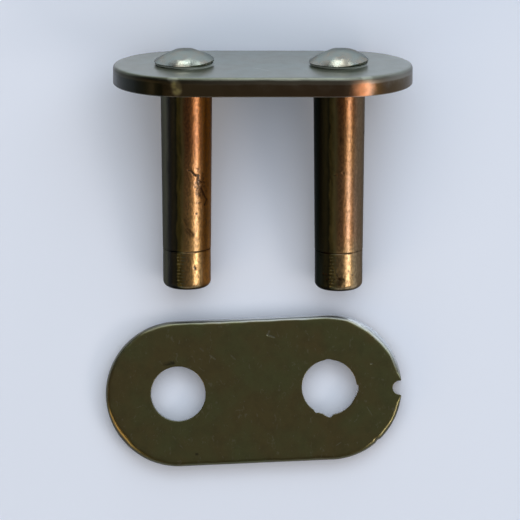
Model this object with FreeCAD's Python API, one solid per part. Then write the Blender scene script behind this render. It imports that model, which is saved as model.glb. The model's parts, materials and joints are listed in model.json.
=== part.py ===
import FreeCAD, Part

import os
from math import asin, atan2, cos, degrees, hypot, pi, radians, sin

from FreeCAD import Placement, Rotation, Vector

# Plates: two alike, blanked from strip, with round ends about the pin axes.
# Blanking rolls the edge of one face over, and the edge of the other is only broken.
PITCH = 15.875
PLATE_HEIGHT = 15.2
PLATE_THICKNESS = 2.0
ROLLED_EDGE = 0.43
BROKEN_EDGE = 0.1

# Pins: riveted through one plate, thinning slowly towards the free end
PIN_DIAMETER = 5.38
PIN_TAPER = 0.34
PIN_CLEAR_LENGTH = 17.5
PIN_END_LENGTH = 4.15
PIN_END_RELIEF = 0.04
PIN_END_ROUND = 0.7
GROOVE_WIDTH = 0.16
GROOVE_DEPTH = 0.07

# How far each pin was driven through its plate, beyond the length above
PIN_SET = {"left_pin": 0.0, "right_pin": 0.15}

# Rivet heads: a low wall that leans outwards, then a dome, spread a little to one side
HEAD_OVERHANG = 0.42
HEAD_UNDERCUT = 0.16
HEAD_WALL = 0.3
HEAD_DOME = 1.32
HEAD_SHIFT = {"left_pin": -0.2, "right_pin": -0.08}

# Hammer flats on each head: direction round the axis, lean off the axis (degrees), depth
HEAD_FLATS = {
    "left_pin": [(207, 28, 0.16), (332, 26, 0.12), (100, 24, 0.07), (270, 30, 0.08), (15, 3, 0.05)],
    "right_pin": [(207, 27, 0.18), (340, 35, 0.06), (75, 22, 0.06), (290, 27, 0.07), (0, 4, 0.04)],
}

# Loose plate: slips over the pin ends, and lies taken off in front of them
COVER_CLEARANCE = 0.74
COVER_GAP = 2.85
COVER_SIDE_SHIFT = -0.95
COVER_TURN = 2.52

# Half-round notch in the loose plate's right end
NOTCH_RADIUS = 0.74
NOTCH_INSET = 0.22
NOTCH_DROP = 0.36

# Torn nicks round the right hole: direction (degrees) and depth of each corner of the tear
HOLE_NICKS = [
    [(3.5, 0.0), (2.5, 0.2), (-8.0, 0.18), (-27.0, 0.0)],
    [(-84.0, 0.0), (-86.5, 0.15), (-91.0, 0.33), (-103.0, 0.07), (-105.0, 0.0)],
    [(-115.5, 0.0), (-119.0, 0.14), (-124.0, 0.12), (-126.0, 0.0)],
]

ALONG_PIN = Vector(0, 0, 1)
SAME_LEVEL = 0.000001
PLATE_ROLL = min(ROLLED_EDGE, 0.6 * PLATE_THICKNESS)
PLATE_BREAK = min(BROKEN_EDGE, 0.3 * PLATE_THICKNESS)
END_DIAMETER = PIN_DIAMETER - PIN_TAPER - PIN_END_RELIEF
END_ROUND = min(PIN_END_ROUND, 0.45 * END_DIAMETER)
COVER_HOLE_DIAMETER = END_DIAMETER + COVER_CLEARANCE
GROOVE_PLACE = PLATE_THICKNESS + PIN_CLEAR_LENGTH
PIN_END_PLACE = GROOVE_PLACE + PIN_END_LENGTH
LONGEST_PIN = PIN_END_PLACE + max(PIN_SET.values())


def resting_tilt():
    """Lean of the riveted link: it lies on its plate's inner edge and on the longest pin's end."""
    run = (LONGEST_PIN - END_ROUND) - (PLATE_THICKNESS - PLATE_BREAK)
    rise = PLATE_HEIGHT / 2 - (END_DIAMETER / 2 - END_ROUND)
    return atan2(rise, run) - asin(END_ROUND / hypot(run, rise))


TILT = resting_tilt()
AXIS_HEIGHT = (PLATE_THICKNESS - PLATE_BREAK) * sin(TILT) + PLATE_HEIGHT / 2 * cos(TILT)
PIN_REACH = ((LONGEST_PIN - END_ROUND) * cos(TILT)
             + (END_DIAMETER / 2 - END_ROUND) * sin(TILT) + END_ROUND)


def edges_at(shape, level):
    """The edges of a shape that lie wholly in the plane z = level."""
    return [edge for edge in shape.Edges
            if all(abs(end.Z - level) < SAME_LEVEL for end in edge.Vertexes)]


def plate_blank(rolled_level, broken_level):
    """Plate with two half-round ends between z = 0 and its thickness, one face's edge rolled."""
    side = PITCH / 2
    radius = PLATE_HEIGHT / 2
    quarters = [Part.makeCircle(radius, Vector(middle, 0, 0), ALONG_PIN, start, start + 90)
                for middle, start in ((side, 270), (side, 0), (-side, 90), (-side, 180))]
    bottom = Part.makeLine(Vector(-side, -radius, 0), Vector(side, -radius, 0))
    top = Part.makeLine(Vector(side, radius, 0), Vector(-side, radius, 0))
    outline = Part.Wire([bottom] + quarters[:2] + [top] + quarters[2:])
    slab = Part.Face(outline).extrude(Vector(0, 0, PLATE_THICKNESS))
    slab = slab.makeFillet(PLATE_ROLL, edges_at(slab, rolled_level))
    return slab.makeChamfer(PLATE_BREAK, edges_at(slab, broken_level))


def drilled(plate, diameter):
    """The plate with its two pin holes."""
    for side in (-PITCH / 2, PITCH / 2):
        plate = plate.cut(Part.makeCylinder(diameter / 2, PLATE_THICKNESS, Vector(side, 0, 0)))
    return plate


def hole_nick(corners):
    """A torn nick in the rim of the right hole, right through the plate."""
    radius = COVER_HOLE_DIAMETER / 2
    points = [Vector(PITCH / 2, 0, 0)]
    for angle, depth in corners:
        far = radius + depth
        points.append(Vector(PITCH / 2 + far * cos(radians(angle)), far * sin(radians(angle)), 0))
    points.append(points[0])
    return Part.Face(Part.makePolygon(points)).extrude(Vector(0, 0, PLATE_THICKNESS))


def riveted_plate():
    """The plate that carries the pins, its holes tight on them, its outer face at z = 0."""
    return drilled(plate_blank(0, PLATE_THICKNESS), PIN_DIAMETER)


def loose_plate():
    """The cover plate, its holes larger than the pin ends, one notched end and a torn hole."""
    plate = drilled(plate_blank(PLATE_THICKNESS, 0), COVER_HOLE_DIAMETER)
    notch_centre = Vector(PITCH / 2 + PLATE_HEIGHT / 2 - NOTCH_INSET, -NOTCH_DROP, 0)
    plate = plate.cut(Part.makeCylinder(NOTCH_RADIUS, PLATE_THICKNESS, notch_centre))
    for corners in HOLE_NICKS:
        plate = plate.cut(hole_nick(corners))
    return plate


def turned(profile):
    """Solid of revolution about the pin axis from points (radius, place along the pin) and arcs."""
    edges = []
    for start, end, through in profile:
        first = Vector(start[0], 0, start[1])
        last = Vector(end[0], 0, end[1])
        if through is None:
            edges.append(Part.LineSegment(first, last).toShape())
        else:
            edges.append(Part.Arc(first, Vector(through[0], 0, through[1]), last).toShape())
    return Part.Face(Part.Wire(edges)).revolve(Vector(0, 0, 0), ALONG_PIN, 360)


def pin_shank(drive):
    """Shank from the plate's outer face to the free end: tight in the plate, a slow taper,
    a fine groove, and a straight rounded end that the loose plate slips over."""
    root = PIN_DIAMETER / 2
    shoulder = root - PIN_TAPER / 2
    end = END_DIAMETER / 2
    groove = GROOVE_PLACE + drive
    tip = PIN_END_PLACE + drive
    bend = END_ROUND * (1 - sin(pi / 4))
    points = [
        (0, 0),
        (root, 0),
        (root, PLATE_THICKNESS + drive),
        (shoulder, groove - GROOVE_WIDTH / 2),
        (end - GROOVE_DEPTH, groove),
        (end, groove + GROOVE_WIDTH / 2),
        (end, tip - END_ROUND),
        (end - END_ROUND, tip),
        (0, tip),
        (0, 0),
    ]
    profile = [(points[i], points[i + 1], None) for i in range(len(points) - 1)]
    profile[6] = (points[6], points[7], (end - bend, tip - bend))
    return turned(profile)


def rivet_head(shift, flats):
    """Head peened from the pin's outer end: an outward-leaning wall under a dome with flats."""
    rim = PIN_DIAMETER / 2 + HEAD_OVERHANG
    foot = rim - HEAD_UNDERCUT
    sphere = (rim ** 2 + HEAD_DOME ** 2) / (2 * HEAD_DOME)
    top = -HEAD_WALL - HEAD_DOME
    half_angle = asin(rim / sphere) / 2
    on_dome = (sphere * sin(half_angle), top + sphere * (1 - cos(half_angle)))
    head = turned([
        ((0, 0), (0, top), None),
        ((0, top), (rim, -HEAD_WALL), on_dome),
        ((rim, -HEAD_WALL), (foot, 0), None),
        ((foot, 0), (0, 0), None),
    ])
    centre = Vector(0, 0, top + sphere)
    block = 2 * rim
    for direction, lean, depth in flats:
        outward = Rotation(Vector(0, 0, 1), direction) * Rotation(Vector(0, 1, 0), 180 - lean)
        cutter = Part.makeBox(block, block, block, Vector(-block / 2, -block / 2, sphere - depth))
        cutter.Placement = Placement(centre, outward)
        head = head.cut(cutter)
    head.translate(Vector(shift, 0, 0))
    return head


def pin(name):
    """A pin with its head, the axis on z, the plate's outer face at z = 0."""
    whole = pin_shank(PIN_SET[name]).fuse(rivet_head(HEAD_SHIFT[name], HEAD_FLATS[name]))
    return whole.removeSplitter()


def on_link(shape, side):
    """Puts a piece of the riveted link, modelled face down, on the link where it rests."""
    placed = shape.copy()
    placed.translate(Vector(side, 0, 0))
    placed.rotate(Vector(0, 0, 0), Vector(1, 0, 0), 90 + degrees(TILT))
    placed.translate(Vector(0, 0, AXIS_HEIGHT))
    return placed


def on_table(shape):
    """Lays the loose plate flat beyond the pin ends, a little askew."""
    placed = shape.copy()
    placed.rotate(Vector(0, 0, 0), Vector(0, 0, 1), COVER_TURN)
    placed.translate(Vector(COVER_SIDE_SHIFT, -PIN_REACH - COVER_GAP - PLATE_HEIGHT / 2, 0))
    return placed


nodes = {
    "riveted_plate": on_link(riveted_plate(), 0),
    "left_pin": on_link(pin("left_pin"), -PITCH / 2),
    "right_pin": on_link(pin("right_pin"), PITCH / 2),
    "loose_plate": on_table(loose_plate()),
}

# The origin is below the middle of the whole set, on the surface that it lies on
extent = Part.makeCompound(list(nodes.values())).optimalBoundingBox(False, False)
TO_ORIGIN = Vector(-extent.Center.x, -extent.Center.y, 0)

os.makedirs("parts", exist_ok=True)
for name, shape in nodes.items():
    shape.translate(TO_ORIGIN)
    shape.exportStep("parts/" + name + ".step")
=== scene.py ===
import json
import random
from math import asin, atan2, cos, degrees, hypot, pi, radians, sin

import bmesh
import bpy
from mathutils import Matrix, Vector, geometry, noise


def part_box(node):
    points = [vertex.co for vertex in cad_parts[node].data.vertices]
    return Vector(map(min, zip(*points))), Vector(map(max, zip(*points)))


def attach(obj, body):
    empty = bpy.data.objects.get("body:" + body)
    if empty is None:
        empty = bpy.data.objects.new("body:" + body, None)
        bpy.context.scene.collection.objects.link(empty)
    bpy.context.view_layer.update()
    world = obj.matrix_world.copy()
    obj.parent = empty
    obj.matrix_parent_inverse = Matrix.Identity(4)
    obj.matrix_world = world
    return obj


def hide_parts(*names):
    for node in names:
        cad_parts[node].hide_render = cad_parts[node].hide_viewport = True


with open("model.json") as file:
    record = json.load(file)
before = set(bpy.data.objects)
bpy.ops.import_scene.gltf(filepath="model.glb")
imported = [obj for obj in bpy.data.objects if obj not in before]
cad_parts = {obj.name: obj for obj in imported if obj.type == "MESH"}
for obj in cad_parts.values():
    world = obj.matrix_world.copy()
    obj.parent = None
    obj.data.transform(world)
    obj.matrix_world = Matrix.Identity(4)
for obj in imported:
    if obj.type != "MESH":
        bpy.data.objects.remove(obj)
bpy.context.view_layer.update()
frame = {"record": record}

# Riveted plate. The side plate that carries both pins: blanked from oiled steel strip, so the edge of its
# outer face is rolled over, its wall is sheared and the edge of its inner face is only broken. It lies on
# its side, with both pins tight in its holes.
mounts = {mount["name"]: mount for mount in frame["record"]["mounts"]}
PITCH = mounts["pin_ends"]["dims"]["pcd_mm"] / 1000
PLATE_THICKNESS = mounts["left_hole"]["dims"]["length_mm"] / 1000
riveted_low, riveted_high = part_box("riveted_plate")
PLATE_LENGTH = riveted_high.x - riveted_low.x
PLATE_HEIGHT = PLATE_LENGTH - PITCH
ROLLED_EDGE = 0.00043
BROKEN_EDGE = 0.0001
HOLE_EDGE = 0.00004
EDGE_UNEVEN = (0.88, 0.2, 0.0016)
FACE_WAVE = (0.000006, 0.004)
PIN_ROOT = 0.00538 / 2
ALONG_PINS = Vector(mounts["pin_ends"]["axis"])
ACROSS = Vector((1, 0, 0))
UP_PLATE = ALONG_PINS.cross(ACROSS)
OUTER_FACE = Vector(mounts["inner_face"]["pos_m"]) - PLATE_THICKNESS * ALONG_PINS

EDGE_SPACING = 0.0002
HOLE_SPACING = 0.0003
ROLL_STEPS = 7
WALL_STEPS = 4
GRID_SPACING = 0.00045
GRID_ROW = 0.866
GRID_REACH = (40, 20)
SAME_POINT = 1e-9
SHARP_CORNER = radians(38)


def on_link(x, y, depth):
    """Row-frame point of the riveted link: across, up the plate, and along the pins from its outer face."""
    return OUTER_FACE + x * ACROSS + y * UP_PLATE + depth * ALONG_PINS


def ripple(place, size, seed):
    """A smooth irregular value from -1 to 1 that changes over about the given distance."""
    return noise.noise(place / size + Vector((seed, 2.3 * seed, 5.1 * seed)))


def plate_outline(spacing):
    """Points round a plate, anticlockwise from the middle of its right end, each with its outward way."""
    radius = PLATE_HEIGHT / 2
    turn = spacing / radius
    quarter = round(pi / 2 / turn)
    run = round(PITCH / spacing)
    edge = []
    for i in range(4 * quarter):
        angle = i * pi / 2 / quarter
        if i == quarter or i == 3 * quarter:
            side = 1 if i == quarter else -1
            for k in range(run + 1):
                edge.append((Vector((side * PITCH * (0.5 - k / run), side * radius)), Vector((0, side))))
        else:
            centre = Vector((PITCH / 2 if angle < pi / 2 or angle > 1.5 * pi else -PITCH / 2, 0))
            outward = Vector((cos(angle), sin(angle)))
            edge.append((centre + radius * outward, outward))
    return edge


def round_hole(centre, radius, spacing):
    """Points round a hole, each with its way out of the metal, towards the hole's middle. The radius is
    given by the angle, so that a torn rim can be drawn too."""
    count = round(2 * pi * radius(0) / spacing)
    edge = []
    for i in range(count):
        angle = 2 * pi * i / count
        way = Vector((cos(angle), sin(angle)))
        edge.append((centre + radius(angle) * way, -way))
    return edge


def edge_rows(rolled, broken, margin):
    """An edge's section from the first face over the wall to the other: (set-back, depth, wear)."""
    rows = [(rolled + margin, 0, 0.0)]
    for i in range(ROLL_STEPS + 1):
        angle = i / ROLL_STEPS * pi / 2
        rows.append((rolled * (1 - sin(angle)), rolled * (1 - cos(angle)), sin(angle)))
    for i in range(1, WALL_STEPS + 1):
        rows.append((0, rolled + i / WALL_STEPS * (PLATE_THICKNESS - broken - rolled), 0.25 - 0.05 * i))
    rows.append((broken, PLATE_THICKNESS, 0.6))
    rows.append((broken + margin, PLATE_THICKNESS, 0.0))
    return rows


def in_a_hole(corners, loops, flat):
    """Whether a triangle lies in one of the holes, whose loops come after the outline's."""
    owners = {loops[k] if k < len(loops) else None for k in corners}
    if len(owners) > 1 or owners & {0, None}:
        return False
    rim = [flat[k] for k, owner in enumerate(loops) if owner in owners]
    middle = sum((flat[k] for k in corners), Vector((0, 0))) / 3
    crossings = 0
    for start, end in zip(rim, rim[1:] + rim[:1]):
        if (start.y > middle.y) != (end.y > middle.y):
            share = (middle.y - start.y) / (end.y - start.y)
            crossings += start.x + share * (end.x - start.x) > middle.x
    return crossings % 2 == 1


def plate_mesh(name, edges, inside, place, sag):
    """A plate from its edge loops, which have a roll, a break and a margin at every point. Its flat faces
    are triangles between the loops and a loose grid of points, so that sag can bend them a little."""
    mesh = bmesh.new()
    own = mesh.verts.layers.float_vector.new("own")
    worn = mesh.verts.layers.float.new("worn")

    def point(x, y, depth, wear):
        vertex = mesh.verts.new(place(x, y, depth + sag(x, y)))
        vertex[own] = (x, y, depth)
        vertex[worn] = wear
        return vertex

    faces = {0: ([], [], []), -1: ([], [], [])}
    for loop, edge in enumerate(edges):
        rings = []
        for spot, outward, rolled, broken, margin in edge:
            rings.append([point(*(spot - back * outward), depth, wear)
                          for back, depth, wear in edge_rows(rolled, broken, margin)])
        for here, after in zip(rings, rings[1:] + rings[:1]):
            for k in range(len(here) - 1):
                mesh.faces.new((here[k], here[k + 1], after[k + 1], after[k]))
        for side, (border, links, loops) in faces.items():
            first = len(border)
            border.extend(ring[side] for ring in rings)
            links.extend((first + i, first + (i + 1) % len(rings)) for i in range(len(rings)))
            loops.extend([loop] * len(rings))
    columns, rows = GRID_REACH
    for side, (border, links, loops) in faces.items():
        depth = 0 if side == 0 else PLATE_THICKNESS
        known = list(border)
        for i in range(-columns, columns + 1):
            for j in range(-rows, rows + 1):
                x = (i + 0.5 * (j % 2)) * GRID_SPACING
                y = j * GRID_SPACING * GRID_ROW
                if inside(x, y) > 2 * ROLLED_EDGE + 0.3 * GRID_SPACING:
                    known.append(point(x, y, depth, 0.0))
        flat = [Vector(vertex[own][:2]) for vertex in known]
        _, _, triangles, origins, _, _ = geometry.delaunay_2d_cdt(flat, links, [], 2, SAME_POINT)
        for triangle in triangles:
            corners = [origins[k][0] for k in triangle]
            if not in_a_hole(corners, loops, flat):
                mesh.faces.new([known[k] for k in corners])
    return finished(name, mesh)


def finished(name, mesh):
    """The piece with its mesh, smooth but for its sharp corners."""
    bmesh.ops.recalc_face_normals(mesh, faces=mesh.faces)
    data = bpy.data.meshes.new(name)
    mesh.to_mesh(data)
    mesh.free()
    data.polygons.foreach_set("use_smooth", [True] * len(data.polygons))
    data.set_sharp_from_angle(angle=SHARP_CORNER)
    piece = bpy.data.objects.new(name, data)
    bpy.context.scene.collection.objects.link(piece)
    return piece


def inside_round_ends(x, y):
    """How far a point is inside the plate's outline."""
    beyond = max(abs(x) - PITCH / 2, 0)
    return PLATE_HEIGHT / 2 - hypot(beyond, y)


def inside_riveted(x, y):
    """How far a point is inside the riveted plate's metal."""
    return min(inside_round_ends(x, y), hypot(abs(x) - PITCH / 2, y) - PIN_ROOT)


def face_wave(x, y):
    """The slight wave of the riveted plate's faces."""
    height, size = FACE_WAVE
    return height * ripple(Vector((x, y, 0)), size, 7)


outer_edge = []
for spot, outward in plate_outline(EDGE_SPACING):
    usual, more, size = EDGE_UNEVEN
    uneven = usual + more * ripple(spot.to_3d(), size, 3)
    outer_edge.append((spot, outward, ROLLED_EDGE * uneven, BROKEN_EDGE, ROLLED_EDGE))
riveted_edges = [outer_edge]
for side in (-1, 1):
    hole = round_hole(Vector((side * PITCH / 2, 0)), lambda angle: PIN_ROOT, HOLE_SPACING)
    riveted_edges.append([(spot, way, HOLE_EDGE, HOLE_EDGE, ROLLED_EDGE) for spot, way in hole])
riveted_plate = plate_mesh("riveted_plate_steel", riveted_edges, inside_riveted, on_link, face_wave)


class Wire:
    """A node's output in a material. Sums on it add Math nodes, and node() adds any other node."""

    def __init__(self, tree, socket=None):
        self.tree = tree
        self.socket = socket

    def node(self, kind, settings, inputs, output=0):
        made = self.tree.nodes.new("ShaderNode" + kind)
        for name, value in settings.items():
            if name == "stops":
                self.set_stops(made.color_ramp.elements, value)
            else:
                setattr(made, name, value)
        for name, value in inputs.items():
            if isinstance(value, Wire):
                self.tree.links.new(value.socket, made.inputs[name])
            else:
                made.inputs[name].default_value = value
        return Wire(self.tree, made.outputs[output] if made.outputs else None)

    def set_stops(self, elements, stops):
        while len(elements) < len(stops):
            elements.new(1.0)
        for element, (place, colour) in zip(elements, stops):
            element.position = place
            element.color = (*colour, 1)

    def math(self, operation, first, second):
        return self.node("Math", {"operation": operation}, {0: first, 1: second})

    def __add__(self, other):
        return self.math("ADD", self, other)

    __radd__ = __add__

    def __sub__(self, other):
        return self.math("SUBTRACT", self, other)

    def __rsub__(self, other):
        return self.math("SUBTRACT", other, self)

    def __mul__(self, other):
        return self.math("MULTIPLY", self, other)

    __rmul__ = __mul__

    def vector(self, operation, first, second, output=0):
        return self.node("VectorMath", {"operation": operation}, {0: first, 1: second}, output)

    def attribute(self, name, output="Vector"):
        return self.node("Attribute", {"attribute_name": name}, {}, output)

    def axis(self, letter):
        """One of a place's three numbers, by its letter."""
        return self.node("SeparateXYZ", {}, {0: self}, letter)

    def limited(self):
        return self.node("Clamp", {}, {0: self})

    def between(self, low, high):
        """0 below low, 1 above high, smooth in between."""
        return self.node("MapRange", {"interpolation_type": "SMOOTHSTEP"},
                         {"Value": self, "From Min": low, "From Max": high})

    def blend(self, first, second):
        """The first colour where this is 0 and the second where it is 1."""
        ends = {6: first if isinstance(first, Wire) else (*first, 1),
                7: second if isinstance(second, Wire) else (*second, 1)}
        return self.node("Mix", {"data_type": "RGBA"}, {0: self, **ends}, 2)

    def shades(self, stops):
        """The colour that a ramp has at this, from its (place, colour) stops."""
        return self.node("ValToRGB", {"stops": stops}, {"Fac": self}, "Color")

    def stretched(self, x, y, z):
        return self.vector("MULTIPLY", self, (x, y, z))

    def cloud(self, size, detail, roughness=0.55, distortion=0.0):
        """Soft irregular shapes of about the given size."""
        return self.node("TexNoise", {}, {"Vector": self, "Scale": 1 / size, "Detail": detail,
                                          "Roughness": roughness, "Distortion": distortion})

    def near_line(self, start, end, width):
        """1 on a line between two places, falling to 0 at the given width from it."""
        run = Vector(end) - Vector(start)
        past = self.vector("SUBTRACT", self, start)
        share = self.vector("DOT_PRODUCT", past, tuple(run / run.length_squared), "Value").limited()
        foot = self.node("VectorMath", {"operation": "SCALE"}, {0: tuple(run), "Scale": share})
        away = self.vector("DISTANCE", past, foot, "Value")
        return 1 - away.between(0.3 * width, width)

    def drawn_lines(self, lines):
        """1 on any of some lines, each given as (start, end, width, strength)."""
        drawn = 0.0
        for start, end, width, strength in lines:
            drawn = self.near_line(start, end, width) * strength + drawn
        return drawn

    def bump(self, height, distance):
        return self.node("Bump", {}, {"Height": height, "Distance": distance})


def new_finish(name):
    """An empty material and the wire that its nodes are added to."""
    material = bpy.data.materials.new(name)
    material.use_nodes = True
    material.node_tree.nodes.clear()
    return material, Wire(material.node_tree)


def coat(wire, **inputs):
    """The surface's shader, its inputs given by their names, with underscores for their spaces."""
    named = {name.replace("_", " "): value for name, value in inputs.items()}
    shader = wire.node("BsdfPrincipled", {}, named, "BSDF")
    wire.node("OutputMaterial", {}, {"Surface": shader})


PLATE_MOTTLE = (0.13, 0.12, 0.06)
PLATE_SPECKS = (0.09, 0.085, 0.045)
PLATE_FLECKS = (0.62, 0.60, 0.45)
PLATE_GRIME_AND_SHADE = (0.05, 0.047, 0.032)
PLATE_SCRATCHES_AND_GLINTS = (0.62, 0.64, 0.52)
PLATE_COAT_ROUGHNESS = 0.16
PLATE_RELIEF = 0.000008
FACE_SKIN = 0.00002


def plate_steel(name, look):
    """Blanked strip under a thin dark oxide and a film of oil: mottled olive and brown on its faces, darker
    on its sheared wall. Its worn edges turn light towards the right end and the upper edge, partly real wear
    and partly painted highlight; the other worn edges darken, partly real grime and partly painted shade on
    the left and lower edges. Wall shades run from its left to its right."""
    material, wire = new_finish(name)
    own = wire.attribute("own")
    worn = wire.attribute("worn", "Fac")
    depth = own.axis("Z")
    across = (own.axis("X") + 0.5 * PLATE_LENGTH) * (1 / PLATE_LENGTH)

    broad = own.cloud(0.006, 3.0, 0.6).between(0.35, 0.65)
    mottle = own.cloud(0.0016, 4.0, 0.6)
    fine = own.cloud(0.00022, 3.0, 0.7)
    flecks = own.stretched(1.0, 0.6, 1.0).cloud(0.0005, 2.0, 0.5, 1.5).between(0.62, 0.72)
    colour = broad.blend(look["olive"], look["brown"])
    colour = (mottle.between(0.35, 0.75) * 0.35).blend(colour, PLATE_MOTTLE)
    colour = (fine.between(0.55, 0.8) * 0.3).blend(colour, PLATE_SPECKS)
    colour = (flecks * look["flecked"]).blend(colour, PLATE_FLECKS)

    far_face = depth.between(PLATE_THICKNESS - FACE_SKIN, PLATE_THICKNESS)
    wall = depth.between(0.35 * ROLLED_EDGE, 0.75 * ROLLED_EDGE) * (1 - far_face)
    dry_wall = 1 - across.between(0.1, 0.8) + across.between(0.88, 0.94)
    # The wall's colour ramp across the plate; on the riveted plate it holds painted shade and a painted
    # glint.
    colour = (wall * 0.95).blend(colour, (across + 0.06 * (mottle - 0.5)).shades(look["wall"]))

    # Painted light on the edges: worn edges turn light towards the right end and the upper edge, partly real
    # wear and partly painted highlight; the other worn edges darken, partly real grime and partly painted
    # shade.
    left_rub_and_sheen, right_rub_and_sheen = look["rubbing_and_sheen"]
    rub_and_sheen = left_rub_and_sheen + (right_rub_and_sheen - left_rub_and_sheen) * across.between(0.1, 0.6)
    rub_and_sheen = rub_and_sheen * own.axis("Y").between(-0.001, 0.005)
    rubbed_and_lit = (worn + 0.5 * mottle - 0.25).between(0.1, 0.6) * rub_and_sheen
    grimy_and_shaded = worn.between(0.3, 0.8) * (1 - rub_and_sheen)
    colour = (grimy_and_shaded * 0.8).blend(colour, PLATE_GRIME_AND_SHADE)
    colour = rubbed_and_lit.blend(colour, look["bare_and_highlight"])

    # Light scratch lines; on the riveted plate also two painted highlights on the rolled edge beside the
    # pins.
    scratched_and_glinting = own.drawn_lines(look["scratches_and_glints"])
    colour = (scratched_and_glinting * 0.7).blend(colour, PLATE_SCRATCHES_AND_GLINTS)
    # Dark smear marks on the loose plate; on the riveted plate a matte olive painted glint.
    smeared_and_glinting = own.drawn_lines(look["smears_and_glints"]) * (0.4 + 0.6 * mottle.between(0.4, 0.55))
    colour = smeared_and_glinting.blend(colour, look["smear_and_glint_colour"])
    metal = 1 - look["smear_and_glint_matte"] * smeared_and_glinting

    streaks = own.stretched(1.0, 1.0, 0.12).cloud(0.00012, 2.0, 0.7)
    relief = 0.4 * fine + 0.6 * mottle + wall * streaks - 2.0 * scratched_and_glinting
    oily = (1 - 0.3 * mottle) * (1 - 0.85 * grimy_and_shaded) * metal * (1 - 0.8 * wall * dry_wall)
    coat(wire, Base_Color=colour, Metallic=metal, Roughness=0.28 + 0.12 * mottle + 0.08 * wall,
         Coat_Weight=oily, Coat_Roughness=PLATE_COAT_ROUGHNESS, Normal=wire.bump(relief, PLATE_RELIEF))
    return material


TOP = PLATE_HEIGHT / 2
RIVETED_LOOK = {
    "olive": (0.155, 0.193, 0.12),
    "brown": (0.165, 0.178, 0.098),
    "flecked": 0.05,
    # Wall colours from left to right: near black at the left end is painted shade, the bright orange stop at
    # the right bend is a painted glint, darker again past it.
    "wall": [
        (0.10, (0.004, 0.006, 0.005)),
        (0.17, (0.005, 0.006, 0.005)),
        (0.22, (0.15, 0.115, 0.065)),
        (0.785, (0.15, 0.095, 0.057)),
        (0.83, (0.95, 0.42, 0.20)),
        (0.87, (0.14, 0.08, 0.03)),
        (0.92, (0.08, 0.045, 0.016)),
        (1.00, (0.09, 0.06, 0.03)),
    ],
    # Worn-edge colour, also a painted highlight, and how much it shows from the left end to the right end.
    "bare_and_highlight": (0.50, 0.50, 0.44),
    "rubbing_and_sheen": (0.0, 0.35),
    "scratches_and_glints": [
        ((-0.001, 0.002, 0), (0.0006, 0.0035, 0), 0.00008, 0.4),
        # These two strokes on the rolled edge beside the pins are painted highlights.
        ((-0.0094, 0.0073, 0.00012), (-0.0090, 0.0074, 0.00012), 0.0005, 0.35),
        ((0.0104, 0.0070, 0.00012), (0.0109, 0.0068, 0.00012), 0.0005, 0.6),
    ],
    # A matte olive-yellow painted glint on the wall where the left bend starts.
    "smears_and_glints": [((-0.0089, TOP, 0.0007), (-0.0088, TOP, 0.0013), 0.0007, 0.7)],
    "smear_and_glint_colour": (0.21, 0.185, 0.06),
    "smear_and_glint_matte": 0.75,
}
riveted_plate.data.materials.append(plate_steel("riveted plate steel", RIVETED_LOOK))
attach(riveted_plate, "root")
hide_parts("riveted_plate")

# Pins. Each is turned from bar, hardened, and run smooth until it thins slowly towards its free end. A fine
# groove marks off the straight end that the loose plate slips over. The other end goes through the riveted
# plate and is hammered over it into a low domed head. Use has pitted and cracked their bronzed skin.
PIN_END = mounts["pin_ends"]["dims"]["stud_r_mm"] / 1000
PIN_TAPER = 0.00034
PIN_SHOULDER = PIN_ROOT - PIN_TAPER / 2
PIN_CLEAR_LENGTH = 0.0175
GROOVE_PLACE = PLATE_THICKNESS + PIN_CLEAR_LENGTH
GROOVE_WIDTH = 0.00016
GROOVE_DEPTH = 0.00007
PIN_END_LENGTH = 0.00415
PIN_END_ROUND = 0.0007
HEAD_OVERHANG = 0.00042
HEAD_UNDERCUT = 0.00016
HEAD_RIM = PIN_ROOT + HEAD_OVERHANG
HEAD_FOOT = HEAD_RIM - HEAD_UNDERCUT
HEAD_WALL = 0.0003
HEAD_DOME = 0.00132
HEAD_TOP = -HEAD_WALL - HEAD_DOME
HEAD_LIFT = 0.00028
HEAD_RAGGED = (0.03, 0.45)
HEAD_SPHERE = (HEAD_RIM ** 2 + HEAD_DOME ** 2) / (2 * HEAD_DOME)
DOME_WAVE = (0.000012, 0.16)
FLAT_SOFTNESS = 0.000015
CRACK_REACH = (0.00004, 0.00018)
CRACK_WIDTH = (0.00007, 0.00014)
CRACK_DEPTH = (0.00001, 0.00003)
DIRTY_DEPTH = 0.00003
DIRT_FADE = 0.0003

AROUND = 220
STEP_ALONG = 0.00008
DOME_STEPS = 30
FLARE_STEPS = 5
ROUND_STEPS = 9
FACE_STEPS = 9
CLOSER_ABOVE = 0.4
SAME_PLACE = 0.000001


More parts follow.
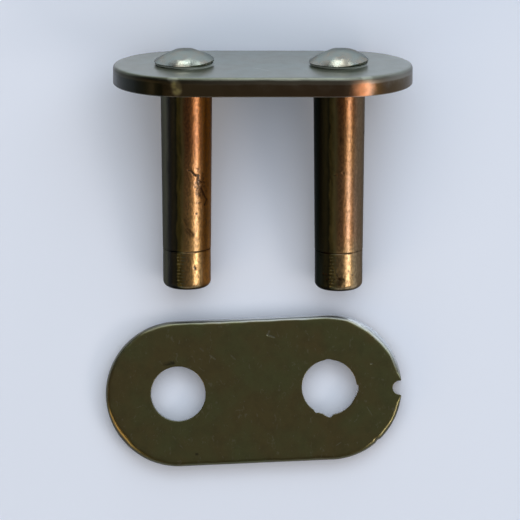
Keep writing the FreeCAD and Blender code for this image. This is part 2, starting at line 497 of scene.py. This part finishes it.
def pin_profile(drive):
    """The pin's half section from the top of its head to its free end: (radius, place along the pin)."""
    widest = asin(HEAD_RIM / HEAD_SPHERE)
    rows = []
    for i in range(1, DOME_STEPS + 1):
        angle = widest * i / DOME_STEPS
        rows.append((HEAD_SPHERE * sin(angle), HEAD_TOP + HEAD_SPHERE * (1 - cos(angle))))
    for i in range(1, FLARE_STEPS + 1):
        share = i / FLARE_STEPS
        rows.append((HEAD_RIM + (HEAD_FOOT - HEAD_RIM) * share, -HEAD_WALL * (1 - share)))
    rows.append((PIN_ROOT, 0))
    start = PLATE_THICKNESS + drive
    rows.append((PIN_ROOT, start))
    groove = GROOVE_PLACE + drive
    run = groove - GROOVE_WIDTH / 2 - start
    steps = round(run / STEP_ALONG)
    rows += [(PIN_ROOT + (PIN_SHOULDER - PIN_ROOT) * i / steps, start + run * i / steps)
             for i in range(1, steps + 1)]
    rows.append((PIN_END - GROOVE_DEPTH, groove))
    start = groove + GROOVE_WIDTH / 2
    tip = groove + PIN_END_LENGTH
    run = tip - PIN_END_ROUND - start
    steps = round(run / STEP_ALONG)
    rows += [(PIN_END, start + run * i / steps) for i in range(steps + 1)]
    for i in range(1, ROUND_STEPS + 1):
        angle = i / ROUND_STEPS * pi / 2
        rows.append((PIN_END - PIN_END_ROUND * (1 - cos(angle)), tip - PIN_END_ROUND * (1 - sin(angle))))
    for i in range(1, FACE_STEPS):
        rows.append(((PIN_END - PIN_END_ROUND) * (1 - i / FACE_STEPS), tip))
    return rows


def hammered(way, flats):
    """How far the dome reaches in a direction from its centre, its hammer flats softly joined."""
    reach = HEAD_SPHERE
    for direction, lean, depth in flats:
        direction, lean = radians(direction), radians(lean)
        normal = Vector((sin(lean) * cos(direction), sin(lean) * sin(direction), -cos(lean)))
        facing = way.dot(normal)
        if facing > 0.5:
            flat = (HEAD_SPHERE - depth) / facing
            gap = max(FLAT_SOFTNESS - abs(reach - flat), 0) / FLAT_SOFTNESS
            reach = min(reach, flat) - gap * gap * FLAT_SOFTNESS / 4
    return reach


def mark_depth(x, place, marks):
    """How deep a crack, scratch or chip goes at a spot on the pin: marks are (points, width, depth)."""
    deepest = 0.0
    here = Vector((x, place))
    for points, width, depth in marks:
        for start, end in zip(points, points[1:]):
            near, share = geometry.intersect_point_line(here, Vector(start), Vector(end))
            near = Vector(start) if share < 0 else Vector(end) if share > 1 else near
            away = (here - near).length / width
            if away < 1:
                deepest = max(deepest, depth * (1 - away * away))
    return deepest


def pitted_patch(middle, size, count, seed):
    """Short random cracks crowded into one patch of the pin's skin."""
    draw = random.Random(seed)
    marks = []
    for _ in range(count):
        x = middle[0] + draw.gauss(0, size[0] / 2)
        place = middle[1] + draw.gauss(0, size[1] / 2)
        angle = draw.uniform(0, pi)
        reach = draw.uniform(*CRACK_REACH)
        marks.append((((x, place), (x + reach * cos(angle), place + reach * sin(angle))),
                      draw.uniform(*CRACK_WIDTH), draw.uniform(*CRACK_DEPTH)))
    return marks


def pin_mesh(name, pin):
    """The pin with its head, its marks and its groove, which dirt shows only across a given span of it,
    mostly on its bronze side. The points lie closer together on the upper side."""
    mesh = bmesh.new()
    own = mesh.verts.layers.float_vector.new("own")
    marked = mesh.verts.layers.float.new("marked")
    side, shift = pin["side"], pin["shift"]
    profile = pin_profile(pin["drive"])
    groove = GROOVE_PLACE + pin["drive"]
    dirt_start, dirt_end = pin["groove_dirt"]
    rings = []
    for radius, place in profile:
        ring = []
        near = [mark for mark in pin["marks"] if min(spot[1] for spot in mark[0]) - mark[1] < place
                < max(spot[1] for spot in mark[0]) + mark[1]]
        from_groove = abs(place - groove)
        for i in range(AROUND):
            angle = -pi + 2 * pi * i / AROUND
            angle -= CLOSER_ABOVE * sin(angle)
            way = Vector((sin(angle), cos(angle)))
            x, y, along = radius * way.x, radius * way.y, place
            dirt = 0.0
            if place < -HEAD_WALL + SAME_PLACE:
                outward = Vector((x, y, along - HEAD_TOP - HEAD_SPHERE)).normalized()
                reach = hammered(outward, pin["flats"]) + DOME_WAVE[0] * ripple(outward, DOME_WAVE[1], side)
                x, y = reach * outward.x, reach * outward.y
                along = HEAD_TOP + HEAD_SPHERE + reach * outward.z
            if place < 0:
                uneven, size = HEAD_RAGGED
                ragged = 1 + uneven * ripple(way.to_3d(), size, 4 + side) * radius / HEAD_RIM
                x = x * ragged + shift
                y = y * ragged
                along -= HEAD_LIFT * max(x, 0) / HEAD_RIM * min(-place / HEAD_WALL, 1)
            elif place > PLATE_THICKNESS and radius > PIN_END / 2 and y > 0:
                depth = mark_depth(x, place, near)
                dirt = min(depth / DIRTY_DEPTH, 1)
                x -= depth * way.x
                y -= depth * way.y
            if from_groove < GROOVE_WIDTH:
                along += pin["groove_wander"] * ripple(way.to_3d(), 0.25, 9)
                shows = min(max(min(x - dirt_start, dirt_end - x) / DIRT_FADE, 0.1), 1)
                dirt = max(dirt, shows * (1 - from_groove / GROOVE_WIDTH))
            vertex = mesh.verts.new(on_link(side * PITCH / 2 + x, y, along))
            vertex[own] = (x, y, along)
            vertex[marked] = dirt
            ring.append(vertex)
        rings.append(ring)
    for here, after in zip(rings, rings[1:]):
        for i in range(AROUND):
            k = (i + 1) % AROUND
            mesh.faces.new((here[i], here[k], after[k], after[i]))
    for ring, x, along in ((rings[0], shift, HEAD_TOP), (rings[-1], 0, profile[-1][1])):
        middle = mesh.verts.new(on_link(side * PITCH / 2 + x, 0, along))
        middle[own] = (0, 0, along)
        for i in range(AROUND):
            mesh.faces.new((ring[i], ring[(i + 1) % AROUND], middle))
    return finished(name, mesh)


PIN_PATCHES = (0.16, 0.09, 0.04)
PIN_PITS = (0.04, 0.028, 0.015)
PIN_GRAIN = (0.10, 0.055, 0.025)
PIN_DIRT = (0.05, 0.022, 0.008)
PIN_TICKS = (0.40, 0.42, 0.28)
PIN_END_SHADE = (0.02, 0.017, 0.012)
PIN_FACE = ((0.07, 0.062, 0.05), (0.15, 0.135, 0.105))
DOME_SHADES = ((0.36, 0.40, 0.36), (0.42, 0.39, 0.32))
HEAD_WALL_LIGHT_AND_SHADE = ((0.36, 0.40, 0.37), (0.22, 0.25, 0.22))
HEAD_CREVICE_SHADE = (0.02, 0.022, 0.02)
PIN_COAT_ROUGHNESS = 0.22
PIN_COAT_IOR = 2.0
PIN_SPECULAR_TINT = (0.5, 0.5, 0.5, 1)
PIN_RELIEF = 0.000016
TURNING_SCALE = 900.0


def pin_steel(name, pin):
    """Hardened steel run to a bronze polish under a film of oil: copper near the plate, golden and lighter
    towards the free end, the lightness in part a painted highlight. Painted shade darkens its left side
    nearly to black and its right edge; fine pits and, past the groove, turning marks. Painted shade darkens
    its rounded free end, with turned rings on its flat face. Under the head a painted shade line runs below
    the dome, over a matte grey wall painted lighter to the left and darker to the right."""
    material, wire = new_finish(name)
    own = wire.attribute("own")
    marked = wire.attribute("marked", "Fac")
    x = own.axis("X")
    along = own.axis("Z")
    groove = GROOVE_PLACE + pin["drive"]
    tip = groove + PIN_END_LENGTH
    shifted = own.vector("ADD", own, (pin["side"], 0, 0))
    drawn = shifted.stretched(1, 1, 0.25).cloud(0.0006, 3.0)
    grain = shifted.stretched(1, 1, 0.6).cloud(0.0002, 1.0, 0.5)
    fine = shifted.cloud(0.00016, 3.0, 0.7)
    patches = shifted.cloud(0.0013, 4.0, 0.6)

    length = (along + 0.002 * (drawn - 0.5)) * (1 / (GROOVE_PLACE + PIN_END_LENGTH))
    ragged_x = x + 0.0005 * (drawn - 0.5)
    across = (ragged_x + PIN_ROOT) * (0.5 / PIN_ROOT)
    # The bronze, lit side against the side darkened by painted shade; pits, grain and smudges show only on
    # the lit side.
    rubbed_and_lit = ragged_x.between(-0.0005, 0.0001)
    # Painted shade along the right edge of the pin, from the given place outwards.
    far = ragged_x.between(pin["far_shade_from"], pin["far_shade_from"] + 0.0007)
    head = 1 - along.between(-0.00001, 0.00001)
    colour = rubbed_and_lit.blend(across.shades(pin["shaded_side"]), length.shades(pin["bronze"]))
    colour = (far * 0.9).blend(colour, pin["far_side_shade"])

    pits = fine.between(0.62, 0.72)
    grainy = grain.between(0.35, 0.65)
    smudged = own.stretched(1, 0, 1).drawn_lines(pin["smudges"])
    smudged = smudged * rubbed_and_lit * (0.65 + 0.35 * patches.between(0.4, 0.6))
    colour = (rubbed_and_lit * patches.between(0.55, 0.75) * 0.3).blend(colour, PIN_PATCHES)
    colour = (rubbed_and_lit * pits * 0.7).blend(colour, PIN_PITS)
    colour = (rubbed_and_lit * grainy * 0.45).blend(colour, PIN_GRAIN)
    colour = smudged.blend(colour, PIN_DIRT)

    past_groove = along.between(groove, groove + 0.0001)
    wave = {"Vector": own, "Scale": TURNING_SCALE, "Detail": 1.0}
    turning = own.node("TexWave", {"bands_direction": "Z"}, {**wave, "Distortion": 1.2}, "Fac")
    ticked = ragged_x.between(-0.0011, -0.0007) * (1 - ragged_x.between(-0.0004, 0.0001))
    ticks = past_groove * turning.between(0.5, 0.9) * ticked * grain.between(0.35, 0.6)
    colour = (ticks * 0.7).blend(colour, PIN_TICKS)
    # Painted shade on the rounded free end.
    end = along.between(tip - 0.0006, tip - 0.0001)
    colour = end.blend(colour, PIN_END_SHADE)
    face = along.between(tip - 0.00005, tip - 0.00001)
    rings = own.node("TexWave", {"wave_type": "RINGS", "rings_direction": "Z"},
                     {**wave, "Distortion": 1.0}, "Fac")
    faced = (0.5 * rings + patches.between(0.35, 0.65)).blend(*PIN_FACE)
    colour = (face * (1 - head)).blend(colour, faced)

    # Painted shade: a dark line under the head's dome, and a matte grey wall below it painted lighter to the
    # left and darker to the right.
    dome = patches.between(0.4, 0.7).blend(*DOME_SHADES)
    under_dome = head * along.between(-HEAD_WALL, -0.95 * HEAD_WALL)
    crevice_shade = head * along.between(-0.85 * HEAD_WALL, -0.6 * HEAD_WALL)
    head_wall_shade = crevice_shade.blend(HEAD_CREVICE_SHADE, x.between(0.0, 0.0018).blend(*HEAD_WALL_LIGHT_AND_SHADE))
    colour = head.blend(colour, under_dome.blend(dome, head_wall_shade))
    colour = (marked * 0.8).between(0.1, 1.0).blend(colour, PIN_DIRT)

    relief = grain + 0.15 * fine + 0.3 * drawn - 0.3 * pits
    relief = relief + 0.15 * past_groove * turning + 0.3 * face * rings
    oily = rubbed_and_lit * (1 - far) * (1 - head) * (1 - 0.7 * patches) * (1 - end) * (1.2 - 0.6 * grainy)
    oily = oily * (1 - 0.7 * smudged) * (0.55 + 0.45 * length.between(0.35, 0.55))
    coat(wire, Base_Color=colour, Metallic=1 - 0.95 * crevice_shade, Specular_Tint=PIN_SPECULAR_TINT,
         Roughness=0.25 + 0.10 * length - 0.06 * past_groove + 0.08 * patches + 0.3 * marked - 0.02 * head,
         Coat_Weight=oily, Coat_Roughness=PIN_COAT_ROUGHNESS, Coat_IOR=PIN_COAT_IOR,
         Normal=wire.bump(relief * (1 - 0.5 * head), PIN_RELIEF))
    return material


PINS = {
    "left_pin": {
        "side": -1,
        "drive": 0.0,
        "shift": -0.0002,
        "flats": [(207, 28, 0.00016), (332, 26, 0.00012), (100, 24, 0.00007), (270, 30, 0.00008),
                  (15, 3, 0.00005)],
        "groove_wander": 0.00004,
        "groove_dirt": (-0.0004, 0.0027),
        # Copper to golden along the pin; its lightness towards the free end is in part a painted highlight.
        "bronze": [
            (0.17, (0.48, 0.19, 0.055)),
            (0.33, (0.46, 0.19, 0.065)),
            (0.55, (0.78, 0.42, 0.15)),
            (0.75, (0.82, 0.50, 0.18)),
            (0.86, (0.88, 0.56, 0.21)),
        ],
        # Painted shade across the left side: near black, a little lighter at the very edge, olive where it
        # meets the bronze.
        "shaded_side": [
            (0.10, (0.073, 0.072, 0.050)),
            (0.17, (0.022, 0.022, 0.021)),
            (0.31, (0.008, 0.011, 0.012)),
            (0.37, (0.10, 0.10, 0.04)),
            (0.42, (0.36, 0.30, 0.14)),
        ],
        # Painted shade on the right edge.
        "far_side_shade": (0.26, 0.085, 0.006),
        "far_shade_from": 0.0011,
        "marks": [
            (((0.00019, 0.01075), (0.0005, 0.0108), (0.0007, 0.0111), (0.00098, 0.01134)), 0.00011, 0.00005),
            (((0.00098, 0.01134), (0.0013, 0.0113), (0.0012, 0.0118), (0.0016, 0.0121)), 0.00009, 0.00004),
            (((-0.00054, 0.01603), (-0.0002, 0.0166), (0.00015, 0.0171), (0.00066, 0.0176)),
             0.0001, 0.000015),
            (((0.0008, 0.0211), (0.0009, 0.0213)), 0.00016, 0.00003),
            (((0.00155, 0.0127), (0.0021, 0.0141), (0.0019, 0.0146)), 0.00012, 0.00004),
        ] + pitted_patch((0.0014, 0.0126), (0.0005, 0.0016), 60, 11),
        "smudges": [
            ((0.0014, 0, 0.0117), (0.0015, 0, 0.0134), 0.0006, 0.55),
            ((0.0001, 0, 0.0171), (0.0006, 0, 0.0176), 0.0004, 0.9),
            ((-0.0003, 0, 0.0161), (-0.0002, 0, 0.0166), 0.0004, 0.9),
        ],
    },
    "right_pin": {
        "side": 1,
        "drive": 0.00015,
        "shift": -0.00008,
        "flats": [(207, 27, 0.00018), (340, 35, 0.00006), (75, 22, 0.00006), (290, 27, 0.00007),
                  (0, 4, 0.00004)],
        "groove_wander": 0.00001,
        "groove_dirt": (-0.0018, 0.0016),
        # Copper to golden along the pin; its lightness towards the free end is in part a painted highlight.
        "bronze": [
            (0.17, (0.38, 0.16, 0.050)),
            (0.33, (0.42, 0.22, 0.08)),
            (0.55, (0.50, 0.26, 0.11)),
            (0.75, (0.60, 0.31, 0.13)),
            (0.86, (0.82, 0.56, 0.26)),
        ],
        # Painted shade across the left side: near black, olive where it meets the bronze.
        "shaded_side": [
            (0.10, (0.012, 0.015, 0.011)),
            (0.17, (0.021, 0.022, 0.014)),
            (0.30, (0.007, 0.009, 0.009)),
            (0.36, (0.10, 0.10, 0.05)),
            (0.42, (0.34, 0.32, 0.16)),
        ],
        # Painted shade on the right edge.
        "far_side_shade": (0.145, 0.108, 0.068),
        "far_shade_from": 0.0013,
        "marks": [
            (((0.00035, 0.01098), (0.00046, 0.0111)), 0.00012, 0.00003),
            (((-0.0005, 0.0113), (-0.0003, 0.0112)), 0.00014, 0.00003),
            (((0.0026, 0.0071), (0.00262, 0.00725)), 0.00012, 0.00003),
        ] + pitted_patch((-0.0003, 0.0222), (0.0012, 0.0012), 40, 23),
        "smudges": [
            ((-0.0004, 0, 0.0221), (-0.0001, 0, 0.0228), 0.0006, 0.9),
            ((0.0002, 0, 0.0223), (0.0005, 0, 0.0226), 0.0003, 0.8),
            ((0.0002, 0, 0.0074), (0.0003, 0, 0.0078), 0.0003, 0.5),
        ],
    },
}
for name, pin in PINS.items():
    piece = pin_mesh(name + "_steel", pin)
    piece.data.materials.append(pin_steel(name.replace("_", " ") + " steel", pin))
    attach(piece, "root")
    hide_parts(name)

# Loose plate. The cover plate, a blank like the riveted one, with larger holes that slip over the pin ends.
# It lies flat, a little askew, its rolled edge up. Its right end has a small half-round notch, and the rim
# of its right hole is torn in four places.
left_hole = Vector(mounts["left_hole"]["pos_m"])
right_hole = Vector(mounts["right_hole"]["pos_m"])
COVER_TOP = (left_hole + right_hole) / 2
COVER_ACROSS = (right_hole - left_hole).normalized()
COVER_UP = Vector((0, 0, 1)).cross(COVER_ACROSS)
COVER_EDGE_SPACING = 0.00015
COVER_HOLE_SPACING = 0.0001
COVER_UNEVEN = (1.15, 0.25, 0.0013)
COVER_HOLE_EDGE = (0.00005, 0.00003, 0.0002)
HOLE_RADIUS = mounts["left_hole"]["dims"]["r_mm"] / 1000
NOTCH_RADIUS = 0.00074
NOTCH_INSET = 0.00022
NOTCH_DROP = 0.00036
NOTCH_CENTRE = Vector((PITCH / 2 + PLATE_HEIGHT / 2 - NOTCH_INSET, -NOTCH_DROP))
NOTCH_EDGE = 0.00003
NOTCH_FADE = 0.0009
NOTCH_STEPS = 24
EDGE_DENT = Vector((0.01277, -0.0058))
EDGE_DENT_REACH = 0.0004
EDGE_DENT_DEPTH = 0.00012
WIDE_ROLLS = [(Vector((-0.0140, -0.0045)), 0.0035, 0.8), (Vector((0.0128, 0.0058)), 0.005, 0.7)]
HOLE_TEARS = [
    [(98.0, 0.0), (93.0, 0.00008), (86.0, 0.00007), (81.0, 0.0)],
    [(3.5, 0.0), (2.5, 0.0002), (-8.0, 0.00018), (-27.0, 0.0)],
    [(-84.0, 0.0), (-86.5, 0.00015), (-91.0, 0.00033), (-103.0, 0.00007), (-105.0, 0.0)],
    [(-115.5, 0.0), (-119.0, 0.00014), (-124.0, 0.00012), (-126.0, 0.0)],
]


def on_cover(x, y, depth):
    """Row-frame point of the loose plate: across, up the plate, and down from its upper face."""
    return COVER_TOP + x * COVER_ACROSS + y * COVER_UP - Vector((0, 0, depth))


def torn_radius(angle):
    """The right hole's radius in a direction, larger where its rim is torn."""
    turned = degrees(angle) if angle < pi else degrees(angle) - 360
    for tear in HOLE_TEARS:
        for (start, near), (end, far) in zip(tear, tear[1:]):
            if end <= turned <= start:
                return HOLE_RADIUS + near + (far - near) * (start - turned) / (start - end)
    return HOLE_RADIUS


def inside_loose(x, y):
    """How far a point is inside the loose plate's metal."""
    left = hypot(x + PITCH / 2, y) - HOLE_RADIUS
    right = hypot(x - PITCH / 2, y) - torn_radius(atan2(y, x - PITCH / 2) % (2 * pi))
    notch = hypot(x - NOTCH_CENTRE.x, y - NOTCH_CENTRE.y) - NOTCH_RADIUS
    return min(inside_round_ends(x, y), left, right, notch)


def notched_edge():
    """The loose plate's outline: the blank's, cut into by the notch, where the edge isn't rolled."""
    kept = [(spot, outward) for spot, outward in plate_outline(COVER_EDGE_SPACING)
            if (spot - NOTCH_CENTRE).length > NOTCH_RADIUS]
    usual, more, size = COVER_UNEVEN
    edge = []
    for spot, outward in kept:
        uneven = usual + more * ripple(spot.to_3d(), size, 6)
        for middle, reach, wider in WIDE_ROLLS:
            uneven += wider * max(1 - (spot - middle).length / reach, 0)
        near = max(min(((spot - NOTCH_CENTRE).length - NOTCH_RADIUS) / NOTCH_FADE, 1), 0.08)
        dent = max(1 - (spot - EDGE_DENT).length / EDGE_DENT_REACH, 0)
        spot = spot - EDGE_DENT_DEPTH * dent * outward
        edge.append((spot, outward, ROLLED_EDGE * uneven * near, BROKEN_EDGE * near, ROLLED_EDGE * near))
    first = atan2(*reversed(kept[0][0] - NOTCH_CENTRE))
    last = atan2(*reversed(kept[-1][0] - NOTCH_CENTRE)) + 2 * pi
    for i in range(1, NOTCH_STEPS):
        angle = last + (first - last) * i / NOTCH_STEPS
        way = Vector((cos(angle), sin(angle)))
        edge.append((NOTCH_CENTRE + NOTCH_RADIUS * way, -way, NOTCH_EDGE, NOTCH_EDGE, NOTCH_EDGE))
    return edge


loose_edges = [notched_edge()]
for centre, radius in ((-PITCH / 2, lambda angle: HOLE_RADIUS), (PITCH / 2, torn_radius)):
    hole = round_hole(Vector((centre, 0)), radius, COVER_HOLE_SPACING)
    loose_edges.append([(spot, way, *COVER_HOLE_EDGE) for spot, way in hole])
loose_plate = plate_mesh("loose_plate_steel", loose_edges, inside_loose, on_cover, lambda x, y: 0.0)
LOOSE_LOOK = {
    "olive": (0.31, 0.325, 0.137),
    "brown": (0.35, 0.288, 0.12),
    "flecked": 0.3,
    "wall": [
        (0.10, (0.10, 0.09, 0.05)),
        (0.70, (0.14, 0.11, 0.07)),
        (0.90, (0.30, 0.20, 0.12)),
    ],
    # Worn-edge colour, pale as a painted highlight on the upper and right edges, and how much it shows from
    # the left end to the right end.
    "bare_and_highlight": (0.76, 0.80, 0.82),
    "rubbing_and_sheen": (0.1, 1.0),
    "scratches_and_glints": [
        ((0.0019, 0.00615, 0), (0.0017, 0.0058, 0), 0.00016, 0.5),
        ((0.0017, 0.0058, 0), (0.0024, 0.0055, 0), 0.00014, 0.7),
        ((-0.0044, 0.0039, 0), (-0.0039, 0.0035, 0), 0.00014, 0.4),
        ((-0.0054, 0.0047, 0), (-0.0051, 0.0044, 0), 0.00012, 0.35),
        ((-0.0022, 0.0038, 0), (-0.0018, 0.0034, 0), 0.00012, 0.35),
        ((0.0118, -0.0022, 0), (0.0123, -0.0031, 0), 0.00007, 0.4),
        ((0.0084, -0.0061, 0), (0.0089, -0.0058, 0), 0.00008, 0.4),
        ((0.0124, 0.0023, 0), (0.0125, 0.0023, 0), 0.00012, 0.8),
    ],
    "smears_and_glints": [
        ((-0.0092, 0.0032, 0), (-0.0083, 0.0033, 0), 0.0003, 0.7),
        ((-0.0063, -0.0064, 0), (-0.0062, -0.0064, 0), 0.0002, 0.7),
    ],
    "smear_and_glint_colour": (0.05, 0.045, 0.025),
    "smear_and_glint_matte": 0.0,
}
loose_plate.data.materials.append(plate_steel("loose plate steel", LOOSE_LOOK))
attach(loose_plate, "root")
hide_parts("loose_plate")

# The table and the light. A plain pale table top, a long warm softbox on the right, a wide cool one behind
# with two low windows under it, a warm card low on the left, a faint card overhead, and one light that is
# for the table alone. The room is dim above and darker to the left.
TABLE_REACH = 6.0
TABLE_COLOUR = (0.74, 0.81, 0.95, 1)
table = bpy.data.objects.new("table_top", bpy.data.meshes.new("table_top"))
corners = [(x * TABLE_REACH, y * TABLE_REACH, 0) for x, y in ((-1, -1), (1, -1), (1, 1), (-1, 1))]
table.data.from_pydata(corners, [], [(0, 1, 2, 3)])
bpy.context.scene.collection.objects.link(table)
material, wire = new_finish("pale table top")
coat(wire, Base_Color=TABLE_COLOUR, Roughness=0.9, Specular_IOR_Level=0.0)
table.data.materials.append(material)


def softbox(name, azimuth, elevation, distance, width, height, radiance, colour, mirrored=True):
    """A lit rectangle facing the object. Azimuth is from +Y towards +X, and width is level. One that isn't
    mirrored lights the table, and the metal doesn't show it."""
    lamp = bpy.data.lights.new(name, "AREA")
    lamp.shape = "RECTANGLE"
    lamp.size = width
    lamp.size_y = height
    lamp.color = colour
    lamp.energy = radiance * pi * width * height
    held = bpy.data.objects.new(name, lamp)
    around = radians(azimuth)
    above = radians(elevation)
    place = Vector((sin(around) * cos(above), cos(around) * cos(above), sin(above)))
    held.location = distance * place
    held.rotation_euler = place.to_track_quat("Z", "Y").to_euler()
    held.visible_camera = False
    held.visible_glossy = mirrored
    bpy.context.scene.collection.objects.link(held)


softbox("right_softbox", 118, 37, 1.0, 0.5, 0.2, 5.2, (1.0, 0.86, 0.74))
softbox("back_softbox", 20, 45, 1.2, 1.9, 0.8, 1.0, (0.90, 0.97, 1.0))
softbox("back_window", -3, 12, 1.2, 0.35, 0.3, 4.0, (0.95, 1.0, 0.98))
softbox("second_window", 23, 12, 1.2, 0.3, 0.22, 2.4, (0.97, 1.0, 0.98))
softbox("left_card", 236, 22, 1.0, 0.5, 0.45, 2.0, (1.0, 0.66, 0.30))
softbox("ceiling_card", 0, 89, 1.3, 0.8, 0.8, 0.05, (1.0, 0.95, 0.85))
softbox("table_light", 0, 89, 1.4, 3.0, 3.0, 0.9, (1.0, 1.0, 1.0), mirrored=False)

ROOM_LEFT = (0.20, 0.21, 0.22)
ROOM_RIGHT = (0.62, 0.68, 0.78)
ROOM_ABOVE = (0.045, 0.043, 0.040)
studio = bpy.data.worlds.new("studio")
studio.use_nodes = True
studio.node_tree.nodes.clear()
room = Wire(studio.node_tree)
towards = room.node("TexCoord", {}, {}, "Generated")
horizon = towards.axis("X").between(-0.9, 0.1).blend(ROOM_LEFT, ROOM_RIGHT)
colour = towards.axis("Z").between(0.0, 0.32).blend(horizon, ROOM_ABOVE)
light = room.node("Background", {}, {"Color": colour, "Strength": 1.0})
room.node("OutputWorld", {}, {"Surface": light})
bpy.context.scene.world = studio

# The camera looks straight down on the set from half a metre.
CAMERA_PLACE = (0.00018, -0.00018, 0.5)
CAMERA_LENS = 328.7
camera = bpy.data.cameras.new("overhead")
camera.sensor_width = 36
camera.lens = CAMERA_LENS
camera.clip_start = 0.01
camera.clip_end = 30
overhead = bpy.data.objects.new("overhead", camera)
overhead.location = CAMERA_PLACE
bpy.context.scene.collection.objects.link(overhead)
bpy.context.scene.camera = overhead
bpy.context.scene.view_settings.view_transform = "Standard"
